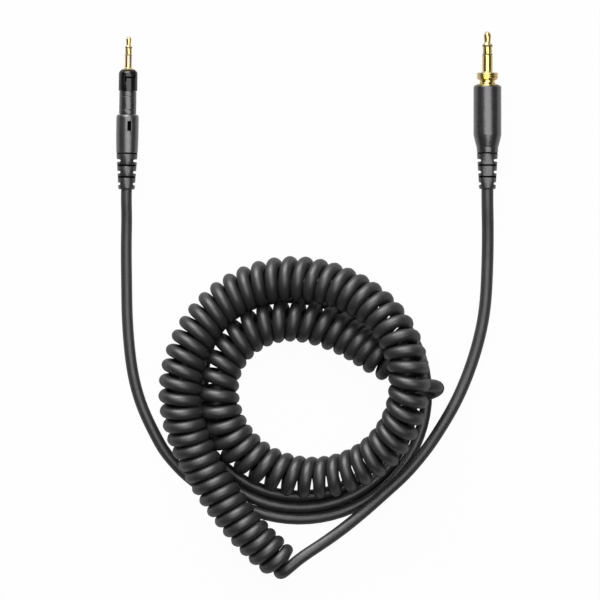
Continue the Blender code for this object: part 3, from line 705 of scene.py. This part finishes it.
def make_main_sleeve(plug, materials):
    """Gold sleeve, threaded collar, neck and flare, in one turned piece."""
    pin = plug["pin_radius"]
    start = plug["bands"][3]
    shoulder = plug["pin_length"]
    crest = 3.66
    neck = 2.55
    front = plug["shell_start"]
    outline = [
        (start, 0.8), (start, pin, 0.08), (shoulder - 0.3, pin, 0.1),
        (shoulder, pin + 0.3, 0.1), (shoulder, crest - 0.45, 0.1),
    ]
    pitch = 0.68
    for turn in range(3):
        middle = shoulder + 0.4 + pitch * turn
        outline += [(middle - 0.2, crest, 0.12), (middle + 0.14, crest, 0.12)]
        outline += [(middle + 0.34, crest - 0.34, 0.1)]
    end = shoulder + 2.4
    outline += [
        (end - 0.05, crest - 0.4, 0.1),
        (end + 0.2, neck, 0.2),
        (end + 1.3, neck, 0.4),
        (front - 0.85, 3.75, 0.15),
        (front - 0.6, 3.95, 0.08),
        (front - 0.6, 3.3),
        (front + 1.5, 3.3),
        (front + 1.5, 0.8),
    ]
    turned_piece(plug, "sleeve", outline, materials["gold"], ["sleeve_contact"])


def make_main_shell(plug, materials):
    start = plug["shell_start"]
    end = plug["shell_end"]
    outer = 4.76
    rear = 3.58
    outline = [
        (start + 1.5, 3.5), (start - 0.55, 3.5), (start - 0.55, outer - 0.3, 0.08),
        (start - 0.25, outer - 0.22, 0.1), (start - 0.1, outer, 0.1), (35.2, outer, 0.35),
        (37.2, 4.35, 2.0), (39.2, 3.82, 0.2), (39.35, 3.72, 0.2), (end - 0.1, rear, 0.15),
        (end, rear - 0.1), (end, 3.0), (end - 1.7, 3.0), (end - 1.7, 2.5), (start + 1.5, 2.5),
    ]
    turned_piece(plug, "shell", outline, materials["shell"], ["shell"])


def make_lock_sleeve(plug, materials):
    pin = plug["pin_radius"]
    start = plug["bands"][3]
    cone = plug["pin_length"] - 0.35
    outline = [
        (start, 0.6), (start, pin - 0.06, 0.06), (cone, pin - 0.06, 0.2),
        (cone + 0.6, 1.84, 0.1), (cone + 2.1, 1.84), (cone + 2.1, 0.6),
    ]
    turned_piece(plug, "sleeve", outline, materials["gold"], ["sleeve_contact"])


def make_locking_collar(plug, materials):
    start = 11.2
    end = 18.58
    outer = 3.2
    outline = [
        (start + 1.4, 2.3), (start + 1.4, 1.9), (start, 1.9), (start, 2.1, 0.1),
        (start + 0.15, 2.4, 0.15), (start + 0.75, 2.95, 0.2), (start + 1.2, outer, 0.5),
        (end - 0.02, outer, 0.12), (end, 2.8), (end - 1.2, 2.8), (end - 1.2, 2.3),
    ]
    # A black sheet under the bayonet track, showing at the bottom of the cut: painted shade in the
    # track.
    track_shade_floor = [
        (start + 1.0, 2.0), (start + 1.0, 2.4), (end - 1.0, 2.4), (end - 1.0, 2.0),
    ]
    turned_piece(plug, "track_shade_floor", track_shade_floor, materials["painted_shade"])
    low, high = 50.0, 110.0
    wide = 0.62
    turn = math.degrees(wide / outer)
    run = start + 2.75
    depth = (2.38, outer + 0.5)
    cutters = []
    for side in (0, 180):
        for stations, angles, steps in (
            ((start - 0.5, run + wide / 2), (low - turn, low), 4),
            ((run - wide / 2, run + wide / 2), (low - turn, high), 16),
            ((run, run + wide * 2.2), (high - turn, high), 4),
        ):
            turned = (angles[0] + side, angles[1] + side)
            cutters.append(sector(stations, depth, turned, steps))
    turned_piece(
        plug, "locking_collar", outline, materials["gloss"], ["locking_collar"],
        cutters=cutters, bevel=0.05,
    )


def make_neck(plug, materials):
    outer = 2.93
    inner = 2.7
    outline = [
        (17.6, 2.4), (17.6, inner), (18.78, inner), (18.78, outer, 0.12), (20.3, outer, 0.05),
        (20.42, outer - 0.12, 0.05), (20.54, outer, 0.05), (24.9, outer, 0.05),
        (25.02, outer - 0.1, 0.05), (25.14, outer, 0.05), (26.42, outer, 0.1),
        (26.42, inner), (27.6, inner), (27.6, 2.4),
    ]
    turned_piece(plug, "neck", outline, materials["neck"], ["neck_barrel"])


def make_lock_shell(plug, materials):
    start = plug["shell_start"]
    end = plug["shell_end"]
    outline = [
        (start + 1.2, 2.8), (start - 0.05, 2.8), (start - 0.05, 3.3, 0.1), (start + 0.2, 3.66, 0.3),
        (start + 0.8, 3.84, 0.6), (start + 7.4, 3.84, 2.0), (end - 1.2, 3.72, 1.0),
        (end - 0.08, 3.68, 0.1), (end, 3.6), (end, 3.0), (end - 1.7, 3.0), (end - 1.7, 2.4),
        (start + 1.2, 2.4),
    ]
    middle, station, wide, long, floor = 0.7, 30.6, 1.32, 3.3, 2.95
    window = [
        (middle - wide / 2, station - long / 2),
        (middle + wide / 2, station - long / 2),
        (middle + wide / 2, station + long / 2),
        (middle - wide / 2, station + long / 2),
    ]
    turned_piece(
        plug, "shell", outline, materials["lock_shell"], ["shell"],
        cutters=[prism(window, floor, 5)], bevel=0.04,
    )
    # A black plate at the window's floor: painted shade in the recess.
    plate = prism(window, floor - 0.1, floor + 0.03)
    plate.transform(plug_matrix(plug))
    link("lock_plug_window_shade_floor", plate, materials["painted_shade"])


def notch_outline(side, inner, outer, station):
    """A side notch seen from above, rounded inside and wider at its mouth: (sideways, station)."""
    radius = 0.42
    mouth = 0.62
    outline = []
    for step in range(9):
        turn = math.pi / 2 + math.pi * step / 8
        x = inner + radius + radius * math.cos(turn)
        outline.append((side * x, station + radius * math.sin(turn)))
    return outline + [(side * outer, station - mouth), (side * outer, station + mouth)]


def make_strain_relief(plug, materials):
    """Tapered rubber with notches down both sides, and slots across its top and bottom.

    A black core inside it closes the gap behind the shell; at the bottom of the cuts it is painted
    shade.
    """
    front, rear = plug["relief_radii"]
    start = plug["shell_end"] + RELIEF_GAP
    end = plug["length"]
    bore = plug["cord_radius"] - 0.02
    notches = [plug["shell_end"] + FIRST_NOTCH + NOTCH_PITCH * turn for turn in range(3)]
    slots = [notch + NOTCH_TO_SLOT for notch in notches[:2]]
    outline = [
        (start - 1.6, bore), (start - 1.6, 2.6), (start, 2.6), (start, front, 0.12),
        (end - 0.35, rear, 0.2), (end, rear - 0.25, 0.15), (end, bore),
    ]
    core_radius = RELIEF_WEB + CORE_SHOWS
    core = [
        (start - 0.46, bore), (start - 0.46, front - 0.12), (start + 0.01, front - 0.12),
        (start + 0.01, core_radius),
    ]
    half = SLOT_HALF_WIDTH - 0.01
    for slot in slots:
        rim = front + (rear - front) * (slot - start) / (end - start) - 0.3
        core += [(slot - half, core_radius), (slot - half, rim)]
        core += [(slot + half, rim), (slot + half, core_radius)]
    core += [(end - 0.5, core_radius), (end - 0.5, bore)]
    turned_piece(plug, "relief_core", core, materials["painted_shade"])
    outer = front + 1
    cutters = []
    for turn, notch in enumerate(notches):
        for side in (-1, 1):
            cutters.append(prism(notch_outline(side, RELIEF_WEB, outer, notch), -outer, outer))
        for slot in slots[turn : turn + 1]:
            ends = (slot - SLOT_HALF_WIDTH, slot + SLOT_HALF_WIDTH)
            for low in (SLOT_SIDE_ANGLE, SLOT_SIDE_ANGLE + 180):
                angles = (low, low + SLOT_SWEEP)
                cutters.append(sector(ends, (RELIEF_WEB, outer), angles, 14))
    turned_piece(
        plug, "strain_relief", outline, materials["relief"], ["strain_relief"],
        cutters=cutters, bevel=0.08,
    )


def make_plugs(materials):
    for plug in (MAIN, LOCK):
        make_pin(plug, materials)
        make_strain_relief(plug, materials)
    make_main_sleeve(MAIN, materials)
    make_main_shell(MAIN, materials)
    make_lock_sleeve(LOCK, materials)
    make_locking_collar(LOCK, materials)
    make_neck(LOCK, materials)
    make_lock_shell(LOCK, materials)


def dress_inside_nodes(frame, materials):
    """The CAD nodes that stay: the jacket's ends and the wires inside the shells."""
    inside = {
        "tip_wire": "wire_red",
        "ring_wire": "wire_white",
        "ground_wire": "wire_copper",
        "jacket_end": "jacket",
    }
    for name, node in frame["nodes"].items():
        for ending, material in inside.items():
            if name.endswith(ending):
                node.data.materials.clear()
                node.data.materials.append(materials[material])


# ---------------------------------------------------------------- the cord


def make_cord(materials):
    points, diameters = cord_route()
    curve = bpy.data.curves.new("cord_seen", "CURVE")
    curve.dimensions = "3D"
    curve.bevel_depth = JACKET_DIAMETER / 2 * MM
    curve.bevel_resolution = 6
    curve.use_fill_caps = True
    spline = curve.splines.new("POLY")
    spline.points.add(len(points) - 1)
    for target, point, diameter in zip(spline.points, points, diameters):
        target.co = (*(point * MM), 1.0)
        target.radius = diameter / JACKET_DIAMETER
    cord = link("cord_seen", curve, materials["jacket"])
    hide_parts("lock_cord", "flat_loops", "curls", "main_cord")


# ---------------------------------------------------------------- camera, floor and light


def make_camera():
    camera = bpy.data.cameras.new("photo_camera")
    camera.lens = SENSOR_WIDTH * CAMERA_HEIGHT / PHOTO_WIDTH
    camera.sensor_width = SENSOR_WIDTH
    camera.clip_start = 0.1
    camera.clip_end = 50.0
    obj = bpy.data.objects.new("photo_camera", camera)
    obj.location = Vector((*PHOTO_MIDDLE, CAMERA_HEIGHT)) * MM
    bpy.context.scene.collection.objects.link(obj)
    bpy.context.scene.camera = obj


def make_floor():
    """A plain floor that the camera, and part of the glossy rays, see as white."""
    bm = bmesh.new()
    bmesh.ops.create_grid(bm, x_segments=1, y_segments=1, size=FLOOR_SIZE)
    mesh = bpy.data.meshes.new("floor")
    bm.to_mesh(mesh)
    bm.free()
    floor = bpy.data.objects.new("floor", mesh)
    floor.location = (0, 0, -FLOOR_DROP)
    bpy.context.scene.collection.objects.link(floor)
    n = Nodes("floor_white")
    n.set(Base_Color=(*[FLOOR_GREY] * 3, 1.0), Roughness=0.9, Specular_IOR_Level=0.0)
    path = n.add("ShaderNodeLightPath")
    seen = path.outputs["Is Camera Ray"]
    for ray, weight in (("Is Glossy Ray", GLOSSY_WHITE), ("Is Transmission Ray", 1.0)):
        part = n.add("ShaderNodeMath", {0: path.outputs[ray], 1: weight}, operation="MULTIPLY")
        both = n.add("ShaderNodeMath", {0: seen, 1: part.outputs[0]}, operation="MAXIMUM")
        seen = both.outputs[0]
    share = n.add("ShaderNodeMath", {0: seen, 1: WHITE_SHARE}, operation="MULTIPLY")
    white = n.add("ShaderNodeEmission", {"Color": (1, 1, 1, 1), "Strength": 1.0})
    mix = n.add(
        "ShaderNodeMixShader",
        {0: share.outputs[0], 1: n.shader.outputs[0], 2: white.outputs[0]},
    )
    output = next(node for node in n.tree.nodes if node.type == "OUTPUT_MATERIAL")
    n.tree.links.new(mix.outputs[0], output.inputs["Surface"])
    mesh.materials.append(n.material)


def area_light(name, location, size, power):
    """A rectangular softbox that faces the middle of the cable.  All is in metres and watts."""
    light = bpy.data.lights.new(name, "AREA")
    light.shape = "RECTANGLE"
    light.size, light.size_y = size
    light.energy = power
    obj = bpy.data.objects.new(name, light)
    obj.location = location
    aim = Vector((0, -0.01, 0)) - Vector(location)
    obj.rotation_mode = "QUATERNION"
    obj.rotation_quaternion = aim.to_track_quat("-Z", "Y")
    bpy.context.scene.collection.objects.link(obj)


def make_light():
    """A plain studio: dim, a little brighter down by the horizon, and two wide softboxes."""
    world = bpy.data.worlds.new("studio")
    world.use_nodes = True
    tree = world.node_tree
    direction = tree.nodes.new("ShaderNodeTexCoord")
    parts = tree.nodes.new("ShaderNodeSeparateXYZ")
    level = tree.nodes.new("ShaderNodeMapRange")
    tree.links.new(direction.outputs["Generated"], parts.inputs["Vector"])
    tree.links.new(parts.outputs["Z"], level.inputs["Value"])
    level.inputs["From Min"].default_value = 0.03
    level.inputs["From Max"].default_value = 0.1
    level.inputs["To Min"].default_value = 0.25
    level.inputs["To Max"].default_value = 0.1
    background = tree.nodes["Background"]
    background.inputs["Color"].default_value = (1, 1, 1, 1)
    tree.links.new(level.outputs["Result"], background.inputs["Strength"])
    bpy.context.scene.world = world
    area_light("key_softbox", (0.15, 0.1, 1.6), (1.8, 1.4), 22.0)
    area_light("back_softbox", (-0.3, 1.3, 0.9), (1.4, 1.3), 43.0)
    bpy.context.scene.view_settings.view_transform = "Standard"


def main():
    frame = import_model()
    make_camera()
    materials = make_materials()
    make_plugs(materials)
    dress_inside_nodes(frame, materials)
    make_cord(materials)
    make_floor()
    make_light()
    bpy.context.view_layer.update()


main()
